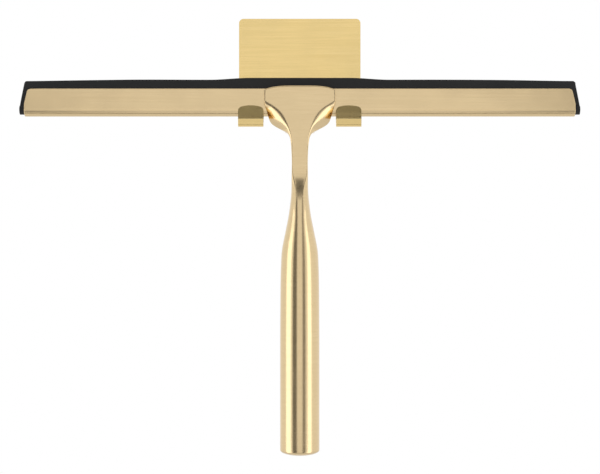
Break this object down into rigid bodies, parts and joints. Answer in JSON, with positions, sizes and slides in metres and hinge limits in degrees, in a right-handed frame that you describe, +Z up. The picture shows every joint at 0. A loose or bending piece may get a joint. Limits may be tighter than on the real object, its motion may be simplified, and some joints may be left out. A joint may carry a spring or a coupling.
{
  "type": "window cleaning squeegee",
  "caption": "Brushed gold T-shaped shower and window squeegee with a black rubber blade, hung by its blade holder in the bent hooks of a stick-on wall plate.",
  "frame": {"origin": "middle of the adhesive pad's back face, which is stuck to the wall", "axes": "+Y into the wall, +Z up, +X to the right seen from the front; the blade runs along X and the handle hangs down along -Z"},
  "size_m": [0.25, 0.02, 0.1953],
  "materials": {
    "foam_tape": "matt grey foam tape",
    "bracket_metal": "satin gold, fine horizontal brushing",
    "handle_metal": "satin gold, fine brushing along the handle",
    "screw_metal": "plain gold-toned screw",
    "holder_metal": "satin gold, fine brushing along the strip",
    "blade_rubber": "matt black rubber"
  },
  "bodies": {
    "bracket": {"adhesive_pad": "foam_tape", "wall_bracket": "bracket_metal"},
    "squeegee": {"handle": "handle_metal", "clamp_plate": "handle_metal", "clamp_screw_left": "screw_metal", "clamp_screw_right": "screw_metal", "blade_holder": "holder_metal"},
    "blade": {"rubber_blade": "blade_rubber"}
  },
  "joints": [
    {"name": "lift_off", "type": "slide", "parent": "bracket", "child": "squeegee", "axis": [0, 0, 1], "range_m": [0, 0.06]},
    {"name": "blade_slide", "type": "slide", "parent": "squeegee", "child": "blade", "axis": [1, 0, 0], "range_m": [0, 0.25]}
  ]
}
